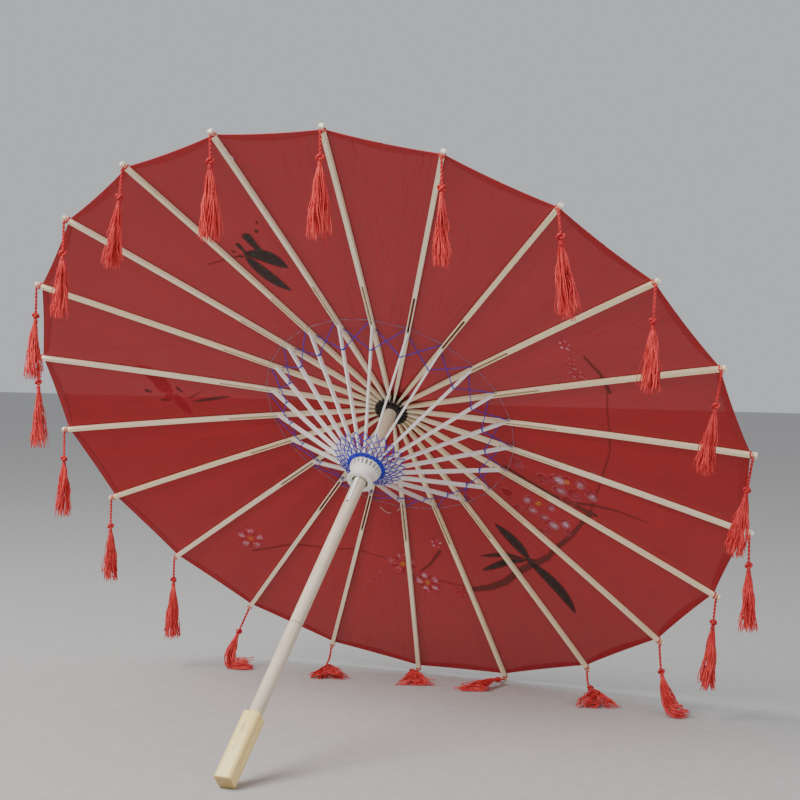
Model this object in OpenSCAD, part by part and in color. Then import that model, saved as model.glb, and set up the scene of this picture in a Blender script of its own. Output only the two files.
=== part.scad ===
// Paper umbrella lying open on the ground, resting on its handle and two rib tips.
// Millimetres, +Z up, origin on the ground under the middle of the bounding box.
// Every piece is drawn in the umbrella's own frame (Z along the shaft, zero at the rib hinges,
// negative towards the handle) and then laid down by lying().

/* [Ribs] */
// Number of ribs, and of stretchers and tassels
rib_count = 22; // [22:2:22]
// Distance from the shaft axis to the end of a rib
tip_radius = 420; // [380:5:460]
// Drop from the rib hinge to the rib tip
tip_drop = 52; // [40:1:70]
// Downward slope of a rib at its hinge, degrees
rib_start_slope = 6; // [4:0.5:7]
// Rib width
rib_width = 4.6; // [4:0.1:4.8]
// Rib tongue width inside the top notch
tongue_width = 2.2; // [1.8:0.1:2.3]
// Rib height above its hinge line
rib_above = 3; // [2:0.1:3.2]
// Rib depth below its hinge line
rib_below = 1.8; // [1.5:0.1:2.2]
// Angle between a closed rib and the shaft, degrees
rib_closed_lean = 2.6; // [2.4:0.1:4]

/* [Stretchers] */
// Distance from the shaft axis to the stretcher joint on an open rib
joint_radius = 139; // [130:1:150]
// Stretcher thickness
stretcher_width = 2.1; // [1.8:0.1:2.2]
// Stretcher depth
stretcher_depth = 4.6; // [4:0.1:4.8]
// Width of the slot that the stretcher folds into
slot_width = 2.6; // [2.4:0.1:2.8]
// Length of that slot from the joint towards the rib tip
slot_outward = 62; // [55:1:80]
// Length of that slot from the joint towards the notch
slot_inward = 9; // [5:1:15]

/* [Hubs] */
// Radius of the ring that the ribs and stretchers turn on
hinge_radius = 15.2; // [15:0.1:16]
// Radius of the top notch
notch_radius = 19.2; // [18.5:0.1:21]
// Largest radius of the runner
runner_radius = 17.8; // [17.2:0.1:19]
// Radius of the runner's lower flange
flange_radius = 15; // [13:0.5:16]
// Distance from the notch hinges to the runner hinges, open
runner_drop = 92; // [85:1:100]
// Gap between the runner's bore and the shaft
runner_gap = 0.35; // [0.3:0.05:0.6]

/* [Shaft and handle] */
// Shaft diameter
shaft_diameter = 14; // [12:0.5:15]
// Distance from the notch hinges to the joint in the shaft
shaft_joint_drop = 316; // [300:1:330]
// Distance from the notch hinges to the top of the handle
handle_top_drop = 426; // [420:1:440]
// Handle length
handle_length = 79; // Handle width across its flat sides
handle_flat = 18.4; // [17.6:0.2:24]
// Rounding of the handle's four long corners
handle_round = 3.4; // [1:0.2:4]

/* [Canopy] */
// Distance from the shaft axis to the edge of the cloth at a rib
cloth_radius = 412; // [370:1:415]
// Thickness drawn for the cloth
cloth_thickness = 0.25; // [0.2:0.05:0.6]

/* [Tassels] */
// Length of cord between rib and knot
cord_length = 32; // [20:1:40]
// Tassel length below the knot
fringe_length = 66; // [50:1:80]
// Fringe radius at the bottom
fringe_radius = 8; // [5:0.5:10]

/* [Hidden] */
$fn = 48;
gap = 0.3;
pitch = 360 / rib_count;
tip_run = tip_radius - hinge_radius;
rib_bend = (tip_drop - tan(rib_start_slope) * tip_run) / pow(tip_run, 2);
joint_run = joint_radius - hinge_radius;
tip_cut = 0.6;
shaft_r = shaft_diameter / 2;
peg_r = 0.6;
ring_r = 0.5;
slot_floor = hinge_radius - stretcher_depth / 2 - 0.5;
notch_top = 6;
notch_low = -5;
runner_high = 6;
runner_slot_low = -8.5;
runner_low = -23;
shoulder = -3;
counterbore = shaft_r + 2.3;
handle_end_drop = handle_top_drop + handle_length;
thread_r = 0.4;

// Height of a rib's hinge line at a distance from its hinge
function rib_line(x) = -(tan(rib_start_slope) * x + rib_bend * x * x);
// Direction of rib k in the umbrella's own frame: 0 lies just right of the top
function rib_turn(k) = (k + 0.5) * pitch - 90;
function two_digits(n) = str(n < 10 ? "0" : "", n);

// Bevel round the handle's end, across and along it
end_across = 1.5;
end_along = 1;

// Lie of the umbrella: the handle's lower end edge and the two lowest rib tips share the ground
tip_slope = atan(tan(rib_start_slope) + 2 * rib_bend * tip_run);
rest_y = (tip_radius - tip_cut) * cos(pitch / 2) + rib_width / 2 * sin(pitch / 2);
rest_z = rib_line(tip_run) - rib_below;
lean = atan((rest_y - handle_flat / 2) / (rest_z + handle_end_drop - end_along));
function ground_y(y, z) = y * sin(lean) + z * cos(lean);
function ground_z(y, z) = -y * cos(lean) + z * sin(lean);
lift = -ground_z(rest_y, rest_z);
far_edge = ground_y(rest_y, rib_line(tip_run) + rib_above);
near_edge = ground_y(-handle_flat / 2, -handle_end_drop + end_along);
mid_y = (far_edge + near_edge) / 2;

// Linkage, in the plane of one rib: x out from the shaft, y along it
open_joint = [joint_radius, rib_line(joint_run)];
open_foot = [hinge_radius, -runner_drop];
stretcher_length = norm(open_joint - open_foot);
stretcher_slope = atan2(open_joint[1] - open_foot[1], open_joint[0] - open_foot[0]);

// Point of the umbrella's frame for distance r from the shaft, sideways step s and height z, on rib k
function on_rib(k, r, s, z) = [
    r * cos(rib_turn(k)) - s * sin(rib_turn(k)),
    r * sin(rib_turn(k)) + s * cos(rib_turn(k)),
    z
];
// The same for a point of stretcher k, a distance d down from its rib joint
function on_stretcher(k, d, s) = on_rib(k,
    joint_radius - d * cos(stretcher_slope), s, open_joint[1] - d * sin(stretcher_slope));
// Umbrella frame to ground frame
function laid(p) = [p[0], ground_y(p[1], p[2]) - mid_y, ground_z(p[1], p[2]) + lift];

module lying() {
    translate([0, -mid_y, lift]) rotate([lean - 90, 0, 0]) children();
}

// Round rod between two points
module rod(a, b, r) {
    d = b - a;
    translate(a)
        rotate([0, acos(d[2] / norm(d)), atan2(d[1], d[0])])
            cylinder(h = norm(d), r = r, $fn = 16);
}

module ring(r, thick) {
    rotate_extrude($fn = 96) translate([r, 0]) circle(r = thick, $fn = 16);
}

// Hole or peg across a rib, at x along it
module across(x, z, r, length) {
    translate([x, 0, z]) rotate([90, 0, 0]) cylinder(h = length, r = r, center = true, $fn = 24);
}

// One rib along +X from its hinge: side outline cut to the plan outline, slotted and drilled
module rib() {
    stations = [for (i = [0:10]) i * tip_run / 10];
    narrow = tongue_width / 2;
    broad = rib_width / 2;
    color([0.86, 0.76, 0.55]) difference() {
        union() {
            across(0, 0, 2.4, tongue_width);
            intersection() {
                rotate([90, 0, 0]) linear_extrude(height = 10, center = true)
                    polygon(concat(
                        [[0, 2.4]],
                        [for (i = [1:10]) [stations[i], rib_line(stations[i]) + rib_above]],
                        [for (i = [10:-1:1])
                            [stations[i] - (i == 10 ? tip_cut : 0), rib_line(stations[i]) - rib_below]],
                        [[0, -rib_below]]
                    ));
                translate([0, 0, -100]) linear_extrude(height = 120)
                    polygon([
                        [-5, -narrow], [8, -narrow], [30, -narrow - 0.8], [85, -broad],
                        [tip_run + 5, -broad], [tip_run + 5, broad],
                        [85, broad], [30, narrow + 0.8], [8, narrow], [-5, narrow]
                    ]);
            }
        }
        across(0, 0, ring_r + 0.08, 10);
        across(joint_run, rib_line(joint_run), peg_r + 0.08, 10);
        across(tip_run - 4, rib_line(tip_run - 4) + 0.6, 0.9, 10);
        translate([joint_run - slot_inward, -slot_width / 2, -60])
            cube([slot_inward + slot_outward, slot_width, 80]);
    }
}

// One stretcher along -X from its rib joint, with the peg it turns on
module stretcher() {
    half = stretcher_depth / 2;
    color([0.95, 0.94, 0.9]) {
        difference() {
            union() {
                across(0, 0, half, stretcher_width);
                across(-stretcher_length, 0, half - 0.1, stretcher_width);
                translate([-stretcher_length, -stretcher_width / 2, -half])
                    cube([stretcher_length, stretcher_width, stretcher_depth]);
            }
            across(-stretcher_length, 0, ring_r + 0.1, 10);
            // foot narrowed and rounded to turn inside the runner
            for (side = [-1, 1])
                translate([-stretcher_length - 2, -5, side * (half - 0.1) - (side < 0 ? 2 : 0)])
                    cube([6, 10, 2]);
            difference() {
                translate([-stretcher_length - 5, -5, -5]) cube([5, 10, 10]);
                across(-stretcher_length, 0, half - 0.1, 12);
            }
        }
        across(0, 0, peg_r, rib_width);
    }
}

module rib_at(k) {
    lying() rotate(rib_turn(k)) translate([hinge_radius, 0, 0]) rib();
}

module stretcher_at(k) {
    lying() rotate(rib_turn(k)) translate([joint_radius, 0, open_joint[1]])
        rotate([0, -stretcher_slope, 0]) stretcher();
}

// Radial slots for the ribs or stretchers
module hub_slots(from_z, to_z) {
    for (k = [0:rib_count - 1])
        rotate(rib_turn(k)) translate([slot_floor, -slot_width / 2, from_z])
            cube([20, slot_width, to_z - from_z]);
}

// Toothed black head that the ribs hinge in
module top_notch() {
    color([0.06, 0.06, 0.06]) lying() difference() {
        rotate_extrude($fn = 96) polygon([
            [shaft_r, notch_low], [notch_radius - 1, notch_low], [notch_radius, notch_low + 1],
            [notch_radius, notch_top - 1], [notch_radius - 1, notch_top], [shaft_r, notch_top]
        ]);
        hub_slots(notch_low - 1, notch_top - 1.5);
        ring(hinge_radius, ring_r + 0.01);
    }
}

// Wire ring that all the ribs turn on
module notch_wire() {
    color([0.6, 0.6, 0.6]) lying() ring(hinge_radius, ring_r);
}

// Turned cap over the canopy's middle
module crown_cap() {
    color([0.06, 0.06, 0.06]) lying() difference() {
        rotate_extrude($fn = 96) polygon([
            [0, notch_top + 0.7], [20.5, notch_top + 0.7], [21, notch_top + 2], [19.5, 11],
            [15, 14.5], [8, 16.5], [4.2, 18], [4.8, 21], [4.2, 24.5], [2.4, 26.5], [0, 27]
        ]);
        translate([0, 0, -1]) cylinder(h = 13.1, r = shaft_r);
    }
}

// Ivory sliding hub: slotted ring, domed down to a neck, with a flange below
module runner() {
    color([0.95, 0.93, 0.86]) lying() translate([0, 0, -runner_drop]) difference() {
        rotate_extrude($fn = 96) polygon([
            [shaft_r + runner_gap, runner_high], [runner_radius - 1.2, runner_high],
            [runner_radius, runner_high - 1.2], [runner_radius, -3.5], [runner_radius - 0.8, -6.5],
            [runner_radius - 2.5, -9.5], [runner_radius - 4.6, -12.5], [12.4, -15],
            [12.2, -19], [flange_radius - 1, -20.2], [flange_radius, -21.2],
            [flange_radius, runner_low + 0.6], [flange_radius - 0.6, runner_low],
            [counterbore + 0.5, runner_low], [counterbore, runner_low + 0.5],
            [counterbore, shoulder], [shaft_r + runner_gap, shoulder]
        ]);
        hub_slots(runner_slot_low, runner_high + 1);
        ring(hinge_radius, ring_r - 0.04);
    }
}

// Pieces of wire held in the runner's teeth
module runner_pins() {
    color([0.6, 0.6, 0.6]) lying() translate([0, 0, -runner_drop]) difference() {
        ring(hinge_radius, ring_r - 0.05);
        hub_slots(-3, 3);
    }
}

// Upper shaft, from the cap to the joint, with the slot for the catch
module shaft_upper() {
    color([0.83, 0.76, 0.66]) lying() difference() {
        translate([0, 0, -shaft_joint_drop + 0.4])
            cylinder(h = shaft_joint_drop + 11.6, r = shaft_r);
        translate([-2.2, -shaft_r - 3, -runner_drop - 58]) cube([4.4, shaft_r - 0.2, 58]);
        translate([0, 0, -shaft_joint_drop - 1]) cylinder(h = 26, r = 3.55);
    }
}

// Lower shaft, from the joint down into the handle
module shaft_lower() {
    color([0.83, 0.76, 0.66]) lying() difference() {
        translate([0, 0, -handle_top_drop - 50])
            cylinder(h = handle_top_drop + 50 - shaft_joint_drop - 0.4, r = shaft_r);
        translate([0, 0, -shaft_joint_drop - 25]) cylinder(h = 26, r = 3.55);
    }
}

// Dowel inside the shaft joint
module shaft_dowel() {
    color([0.72, 0.6, 0.42]) lying()
        translate([0, 0, -shaft_joint_drop - 24]) cylinder(h = 48, r = 3.5);
}

// Varnished handle: square bar with rounded corners and bevelled ends, bored for the shaft
module handle() {
    side = handle_flat / 2;
    inset = side - handle_round;
    color([0.93, 0.82, 0.5]) lying() translate([0, 0, -handle_end_drop]) difference() {
        union() {
            for (turn = [0, 90])
                rotate(turn) translate([-side, -inset, 0]) cube([2 * side, 2 * inset, handle_length]);
            for (x = [-inset, inset], y = [-inset, inset])
                translate([x, y, 0]) cylinder(h = handle_length, r = handle_round);
        }
        for (i = [0:7])
            rotate(i * 45) {
                out = i % 2 == 0 ? side : inset * sqrt(2) + handle_round;
                translate([out - 3, -20, handle_length]) rotate([0, 45, 0]) cube([20, 40, 20]);
                translate([out - end_across, -20, 0])
                    rotate([0, atan2(end_across, end_along), 0]) cube([20, 40, 20]);
            }
        translate([0, 0, handle_length - 50]) cylinder(h = 60, r = shaft_r);
    }
}

// Springy strip that holds the runner up: flush at its lower end, proud under the runner's shoulder
module catch() {
    foot_z = -runner_drop - 56;
    color([0.96, 0.95, 0.9]) lying()
        translate([0, -shaft_r - 0.1, foot_z]) rotate([1.8, 0, 0])
            translate([-1.9, 0, 0]) cube([3.8, 2.2, 52]);
}

// Cloth over the ribs, one sheet
module canopy() {
    radii = [17, 23, 40, 95, 155, 220, 285, 350, cloth_radius];
    top = [for (r = radii)
        r < 30 ? notch_top + 0.1 : rib_line(r - hinge_radius) + rib_above + gap];
    rings = len(radii);
    function at(i, k, lift) = on_rib(k, radii[i], 0, top[i] + lift);
    points = concat(
        [for (i = [0:rings - 1]) for (k = [0:rib_count - 1]) at(i, k, cloth_thickness)],
        [for (i = [0:rings - 1]) for (k = [0:rib_count - 1]) at(i, k, 0)]
    );
    lower = rings * rib_count;
    function id(i, k) = i * rib_count + k % rib_count;
    faces = concat(
        [for (i = [0:rings - 2]) for (k = [0:rib_count - 1])
            [id(i, k), id(i, k + 1), id(i + 1, k + 1), id(i + 1, k)]],
        [for (i = [0:rings - 2]) for (k = [0:rib_count - 1])
            [lower + id(i, k), lower + id(i + 1, k), lower + id(i + 1, k + 1), lower + id(i, k + 1)]],
        [for (k = [0:rib_count - 1])
            [id(0, k), lower + id(0, k), lower + id(0, k + 1), id(0, k + 1)]],
        [for (k = [0:rib_count - 1])
            [id(rings - 1, k), id(rings - 1, k + 1),
             lower + id(rings - 1, k + 1), lower + id(rings - 1, k)]]
    );
    color([0.6, 0.1, 0.12, 0.8]) lying() polyhedron(points, faces);
}

// Blue threads crossed between each rib and its neighbour's stretcher
module rib_lacing() {
    side = rib_width / 2 + gap + thread_r;
    inner = stretcher_width / 2 + gap + thread_r;
    color([0.2, 0.35, 0.75]) lying() for (k = [0:rib_count - 1]) {
        rod(on_rib(k, joint_radius - 6, side, rib_line(joint_run - 6) + 0.5),
            on_stretcher(k + 1, 26, -inner), thread_r);
        rod(on_rib(k + 1, joint_radius + 6, -side, rib_line(joint_run + 6) + 0.5),
            on_stretcher(k, 26, inner), thread_r);
    }
}

// Blue thread wound under the stretchers close to the runner, with a net out along them
module runner_lacing() {
    inner = stretcher_width / 2 + gap + thread_r;
    color([0.2, 0.35, 0.75]) lying() {
        for (r = [21.5, 23.2])
            translate([0, 0, -runner_drop + (r - hinge_radius) * tan(stretcher_slope)
                - stretcher_depth / 2 / cos(stretcher_slope) - gap - 1])
                ring(r, 0.7);
        for (k = [0:rib_count - 1]) {
            rod(on_stretcher(k, stretcher_length - 16, inner),
                on_stretcher(k + 1, stretcher_length - 42, -inner), thread_r);
            rod(on_stretcher(k + 1, stretcher_length - 17, -inner),
                on_stretcher(k, stretcher_length - 43, inner), thread_r);
        }
    }
}

// Thread that spaces the ribs, just outside the stretcher joints
module spacer_thread() {
    side = rib_width / 2 + gap + 0.1;
    color([0.5, 0.45, 0.6]) lying() for (k = [0:rib_count - 1])
        rod(on_rib(k, joint_radius + 8, side, rib_line(joint_run + 8) + 0.8),
            on_rib(k + 1, joint_radius + 8, -side, rib_line(joint_run + 8) + 0.8), 0.3);
}

// Where a tassel's cord leaves its rib, on the ground frame
function cord_start(k) = laid(on_rib(k, tip_radius - 4, 0,
    rib_line(tip_run - 4) - rib_below - gap - 1));
// Height of the knot: hanging free, or lying on the ground
function knot_height(k) = max(cord_start(k)[2] - cord_length, 4);
// Direction that a tassel on the ground points in, degrees from +X
function lie_turn(k) = k < 9 ? -35 : k == 9 ? -62 : k == 10 ? -100 : k < 13 ? -65 : 15;
// Place of the knot
function knot_at(k) = let (
        start = cord_start(k),
        slack = max(0, cord_length - (start[2] - 4)),
        reach = [cos(lie_turn(k)), sin(lie_turn(k)), 0] * slack
    ) [start[0] + reach[0], start[1] + reach[1], knot_height(k)];

// Red cords from the rib tips down to the knots
module tassel_cords() {
    color([0.75, 0.12, 0.12]) for (k = [0:rib_count - 1]) {
        start = cord_start(k);
        knot = knot_at(k);
        rod(start, knot + (start - knot) * 3.4 / norm(start - knot), 0.9);
        translate(knot) sphere(r = 3.2, $fn = 24);
    }
}

// Red fringes below the knots: hanging, or spread on the ground
module tassel_fringes() {
    color([0.8, 0.15, 0.15]) for (k = [0:rib_count - 1]) {
        knot = knot_at(k);
        hang = knot[2] - 2.8;
        if (hang > fringe_length)
            translate([knot[0], knot[1], hang - fringe_length])
                cylinder(h = fringe_length - 0.4, r1 = fringe_radius, r2 = 2.2);
        else {
            fallen = fringe_length - max(0, hang - 8);
            if (hang > 10)
                translate([knot[0], knot[1], 6.2]) cylinder(h = hang - 6.6, r1 = 6, r2 = 2.2);
            translate([knot[0], knot[1], 0.2]) rotate(lie_turn(k))
                translate([hang > 10 ? -5 : 3.5, 0, 0]) linear_extrude(height = 5.6)
                    polygon([[0, -3], [0, 3], [fallen, fringe_radius + 2], [fallen, -fringe_radius - 2]]);
        }
    }
}

for (k = [0:rib_count - 1]) {
    rib_at(k);
    stretcher_at(k);
}
shaft_upper();
shaft_lower();
shaft_dowel();
handle();
catch();
top_notch();
notch_wire();
crown_cap();
runner();
runner_pins();
canopy();
rib_lacing();
runner_lacing();
spacer_thread();
tassel_cords();
tassel_fringes();
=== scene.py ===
import math
import random

import bpy
import numpy as np
from mathutils import Matrix, Vector


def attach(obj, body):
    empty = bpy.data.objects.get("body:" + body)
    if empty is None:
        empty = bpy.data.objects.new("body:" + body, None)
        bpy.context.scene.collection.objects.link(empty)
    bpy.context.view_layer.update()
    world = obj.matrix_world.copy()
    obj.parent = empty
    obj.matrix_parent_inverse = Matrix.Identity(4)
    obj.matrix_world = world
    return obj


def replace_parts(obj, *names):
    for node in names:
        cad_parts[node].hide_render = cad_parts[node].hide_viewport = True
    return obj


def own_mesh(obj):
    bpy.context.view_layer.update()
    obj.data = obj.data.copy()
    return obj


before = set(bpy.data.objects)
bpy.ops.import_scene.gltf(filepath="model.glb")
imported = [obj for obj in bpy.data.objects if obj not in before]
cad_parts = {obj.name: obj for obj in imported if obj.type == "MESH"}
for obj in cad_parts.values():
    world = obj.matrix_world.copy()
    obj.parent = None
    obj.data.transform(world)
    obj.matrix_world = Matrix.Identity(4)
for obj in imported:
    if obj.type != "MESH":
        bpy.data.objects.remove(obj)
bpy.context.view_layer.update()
MM = 0.001

# ---------------------------------------------------------------- sizes, millimetres
RIBS = 22
PITCH = 2 * math.pi / RIBS
HINGE_R, TIP_R, TIP_DROP = 15.2, 420.0, 52.0
RIB_WIDTH, RIB_ABOVE, RIB_BELOW = 4.6, 3.0, 1.8
JOINT_R, RUNNER_DROP = 139.0, 92.0
STRETCHER_WIDTH, STRETCHER_DEPTH = 2.1, 4.6
HANDLE_TOP, HANDLE_END, HANDLE_SIDE, HANDLE_BEVEL = 426.0, 505.0, 9.2, 1.0
CLOTH_R, CLOTH_IN = 412.0, 24.0

TIP_RUN = TIP_R - HINGE_R
SLOPE = math.tan(math.radians(6))
BEND = (TIP_DROP - SLOPE * TIP_RUN) / TIP_RUN**2


def rib_line(x):
    """Height of a rib's hinge line at x from its hinge."""
    return -(SLOPE * x + BEND * x * x)


REST_Y = (TIP_R - 0.6) * math.cos(PITCH / 2) + RIB_WIDTH / 2 * math.sin(PITCH / 2)
REST_Z = rib_line(TIP_RUN) - RIB_BELOW
LEAN = math.atan((REST_Y - HANDLE_SIDE) / (REST_Z + HANDLE_END - HANDLE_BEVEL))
SIN, COS = math.sin(LEAN), math.cos(LEAN)
LIFT = REST_Y * COS - REST_Z * SIN
FAR = REST_Y * SIN + (rib_line(TIP_RUN) + RIB_ABOVE) * COS
NEAR = -HANDLE_SIDE * SIN + (HANDLE_BEVEL - HANDLE_END) * COS
MID_Y = (FAR + NEAR) / 2

JOINT_Z = rib_line(JOINT_R - HINGE_R)
STRETCHER = math.hypot(JOINT_R - HINGE_R, JOINT_Z + RUNNER_DROP)
RISE = math.atan2(JOINT_Z + RUNNER_DROP, JOINT_R - HINGE_R)


def laid(p):
    """Umbrella's own frame, millimetres, to the row frame, metres. p ends in x, y, z."""
    p = np.asarray(p, float)
    x, y, z = p[..., 0], p[..., 1], p[..., 2]
    return np.stack([x, y * SIN + z * COS - MID_Y, -y * COS + z * SIN + LIFT], -1) * MM


def turned(d):
    """A direction of the umbrella's own frame in the row frame."""
    return Vector((d[0], d[1] * SIN + d[2] * COS, -d[1] * COS + d[2] * SIN))


def turn(k):
    """Direction of rib k in plan, radians."""
    return (k + 0.5) * PITCH - math.pi / 2


def on_rib(k, r, s, z):
    """A point of rib k's plane: r from the shaft, s to the side, z along the shaft."""
    a = turn(k)
    return np.array([r * math.cos(a) - s * math.sin(a), r * math.sin(a) + s * math.cos(a), z])


def on_stretcher(k, d, s, rise=0.0):
    """A point d from the rib joint down stretcher k, s to its side and rise above its middle."""
    return on_rib(
        k,
        JOINT_R - d * math.cos(RISE) - rise * math.sin(RISE),
        s,
        JOINT_Z - d * math.sin(RISE) + rise * math.cos(RISE),
    )


def sideways(k):
    """Direction across rib k in the row frame."""
    a = turn(k)
    return turned((-math.sin(a), math.cos(a), 0))


def two(k):
    """Two-digit number of rib k, counted from 1."""
    return f"{k + 1:02d}"


# ---------------------------------------------------------------- shader maths
class Value:
    """A shader value: Python's operators on it make nodes."""

    tree = None

    def __init__(self, socket):
        self.socket = socket

    @classmethod
    def node(cls, kind, settings=None, inputs=None, out=0):
        """Any node: its type, its settings, its inputs by name or number, and the output to use."""
        made = cls.tree.nodes.new("ShaderNode" + kind)
        for key, value in (settings or {}).items():
            setattr(made, key, value)
        for key, value in (inputs or {}).items():
            if isinstance(value, Value):
                cls.tree.links.new(value.socket, made.inputs[key])
            elif value is not None:
                made.inputs[key].default_value = value
        return cls(made.outputs[out])

    def maths(self, operation, *others):
        return Value.node("Math", {"operation": operation}, dict(enumerate((self, *others))))

    def __add__(self, o):
        return self.maths("ADD", o)

    __radd__ = __add__

    def __sub__(self, o):
        return self.maths("SUBTRACT", o)

    def __rsub__(self, o):
        return (self * -1.0) + o

    def __mul__(self, o):
        return self.maths("MULTIPLY", o)

    __rmul__ = __mul__

    def __truediv__(self, o):
        return self.maths("DIVIDE", o)

    def __neg__(self):
        return self * -1.0

    def __abs__(self):
        return self.maths("ABSOLUTE")

    def __pow__(self, o):
        return self.maths("POWER", o)

    def least(self, o):
        return self.maths("MINIMUM", o)

    def most(self, o):
        return self.maths("MAXIMUM", o)

    def ramp(self, low, high, to_low=0.0, to_high=1.0):
        """Smooth step from to_low at low to to_high at high."""
        return Value.node(
            "MapRange", {"interpolation_type": "SMOOTHSTEP"},
            {0: self, 1: low, 2: high, 3: to_low, 4: to_high},
        )

    def bump(self, strength=0.3, distance=0.001):
        return Value.node("Bump", {}, {"Height": self, "Strength": strength, "Distance": distance})


def axes(vector):
    """A vector's three parts."""
    split = Value.node("SeparateXYZ", {}, {0: vector})
    made = split.socket.node
    return tuple(Value(made.outputs[i]) for i in range(3))


def joined(x, y, z=0.0):
    return Value.node("CombineXYZ", {}, {0: x, 1: y, 2: z})


def noise(vector, scale=1.0, detail=3.0, rough=0.55):
    sockets = {"Vector": vector, "Scale": scale, "Detail": detail, "Roughness": rough}
    return Value.node("TexNoise", {}, sockets)


def mixed(a, b, share):
    """Colour a to b by share."""
    return Value.node("Mix", {"data_type": "RGBA"}, {0: share, 6: a, 7: b}, out=2)


def rgb(r, g, b):
    """A colour as a socket takes it."""
    return (r, g, b, 1.0)


def material(name, paint):
    """A material whose paint() returns the shader's inputs by name."""
    made = bpy.data.materials.new(name)
    made.use_nodes = True
    tree = made.node_tree
    Value.tree = tree
    shader = tree.nodes["Principled BSDF"]
    for key, value in paint().items():
        if isinstance(value, Value):
            tree.links.new(value.socket, shader.inputs[key])
        else:
            shader.inputs[key].default_value = value
    return made


def own_frame():
    """Object coordinates turned into the umbrella's own frame, millimetres."""
    where = Value.node("TexCoord", {}, {}, out=3)
    x, y, z = axes(where)
    x, y, z = x * 1000.0, y * 1000.0 + MID_Y, z * 1000.0 - LIFT
    return x, y * SIN - z * COS, y * COS + z * SIN


def round_frame():
    """Distance from the shaft, step sideways from the nearest rib, height along the shaft, rib number."""
    x, y, z = own_frame()
    r = (x * x + y * y) ** 0.5
    angle = y.maths("ARCTAN2", x) / PITCH + (RIBS + 0.0) - (0.5 - RIBS / 4)
    rib = angle.maths("ROUND")
    return r, (angle - rib) * PITCH * r, z, rib


# ---------------------------------------------------------------- plain materials
def bamboo():
    r, s, z, rib = round_frame()
    grain = noise(joined(r * 0.02 + rib * 3.1, s * 2.6, z * 2.2), 1.0, 4.0)
    streak = noise(joined(r * 0.006 + rib * 7.7, s * 1.3, z * 0.9 + rib), 1.0, 2.0)
    tone = noise(joined(rib * 1.7, 0.3, 0.1), 1.0, 0.0)
    colour = mixed(rgb(0.88, 0.68, 0.38), rgb(0.98, 0.87, 0.6), grain.ramp(0.3, 0.62))
    colour = mixed(colour, rgb(0.86, 0.64, 0.36), streak.ramp(0.5, 0.75) * 0.5)
    colour = mixed(colour, rgb(0.96, 0.88, 0.7), tone.ramp(0.35, 0.65) * 0.5)
    # greyish green skin side of the split bamboo
    depth = z + (r - HINGE_R) * SLOPE + (r - HINGE_R) ** 2.0 * BEND
    skin = depth.ramp(2.2, 2.9)
    colour = mixed(colour, rgb(0.42, 0.38, 0.24), skin * 0.75)
    # cut ends lighter
    colour = mixed(colour, rgb(0.9, 0.83, 0.68), r.ramp(TIP_R - 0.9, TIP_R - 0.5))
    return {
        "Base Color": colour,
        "Roughness": grain.ramp(0.2, 0.8, 0.38, 0.6),
        "Normal": grain.bump(0.35, 0.0004),
    }


def white_bamboo():
    r, s, z, rib = round_frame()
    grain = noise(joined(r * 0.03 + rib * 2.3, s * 2.0, z * 1.2), 1.0, 4.0)
    chips = noise(joined(r * 0.25, s * 1.1 + rib * 5.0, z * 0.25), 1.0, 3.0)
    colour = mixed(rgb(0.8, 0.78, 0.72), rgb(0.93, 0.92, 0.9), grain.ramp(0.28, 0.5))
    colour = mixed(colour, rgb(0.66, 0.55, 0.36), chips.ramp(0.66, 0.74) * 0.7)
    return {
        "Base Color": colour,
        "Roughness": grain.ramp(0.2, 0.8, 0.3, 0.5),
        "Normal": grain.bump(0.3, 0.0003),
    }


def dowel():
    x, y, z = own_frame()
    grain = noise(joined(x * 0.9, y * 0.9, z * 0.018), 1.0, 5.0, 0.6)
    pores = noise(joined(x * 4.0, y * 4.0, z * 0.15), 1.0, 2.0)
    colour = mixed(rgb(0.6, 0.48, 0.34), rgb(0.76, 0.66, 0.52), grain.ramp(0.32, 0.6))
    colour = mixed(colour, rgb(0.45, 0.33, 0.22), pores.ramp(0.62, 0.78) * 0.4)
    # handled wood is a little darker just above the handle and at the joint
    grey = z.ramp(-HANDLE_TOP, -HANDLE_TOP + 60, 0.22, 0.0)
    colour = mixed(colour, rgb(0.45, 0.36, 0.27), grey)
    return {
        "Base Color": colour,
        "Roughness": grain.ramp(0.2, 0.8, 0.42, 0.62),
        "Normal": (grain + pores * 0.5).bump(0.3, 0.0004),
    }


def varnished():
    x, y, z = own_frame()
    wander = noise(joined(x * 0.05, y * 0.05, z * 0.02), 1.0, 2.0) * 6.0
    rings = noise(joined((x + wander) * 0.55, y * 0.55, z * 0.012), 1.0, 4.0, 0.6)
    pores = noise(joined(x * 3.0, y * 3.0, z * 0.09), 1.0, 2.0)
    colour = mixed(rgb(0.9, 0.62, 0.17), rgb(0.98, 0.79, 0.31), rings.ramp(0.3, 0.6))
    colour = mixed(colour, rgb(0.58, 0.36, 0.12), pores.ramp(0.62, 0.8) * 0.4)
    # a small knot on the side, and the sawn end a little darker
    spot = ((x + 1.0) * (x + 1.0) * 0.5 + (y + 9.0) * (y + 9.0) * 0.25
            + (z + HANDLE_TOP + 22.0) * (z + HANDLE_TOP + 22.0) * 0.04) ** 0.5
    colour = mixed(colour, rgb(0.25, 0.13, 0.04), spot.ramp(0.4, 1.6, 0.4, 0.0))
    colour = mixed(colour, rgb(0.36, 0.2, 0.06), z.ramp(-HANDLE_END + 0.1, -HANDLE_END + 1.6, 0.7, 0.0))
    wear = noise(joined(x * 0.15, y * 0.15, z * 0.08), 1.0, 3.0)
    return {
        "Base Color": colour,
        "Roughness": wear.ramp(0.3, 0.7, 0.16, 0.34),
        "Coat Weight": 0.5,
        "Coat Roughness": 0.12,
        "Normal": (rings + wear * 2.0).bump(0.12, 0.0006),
    }


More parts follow.
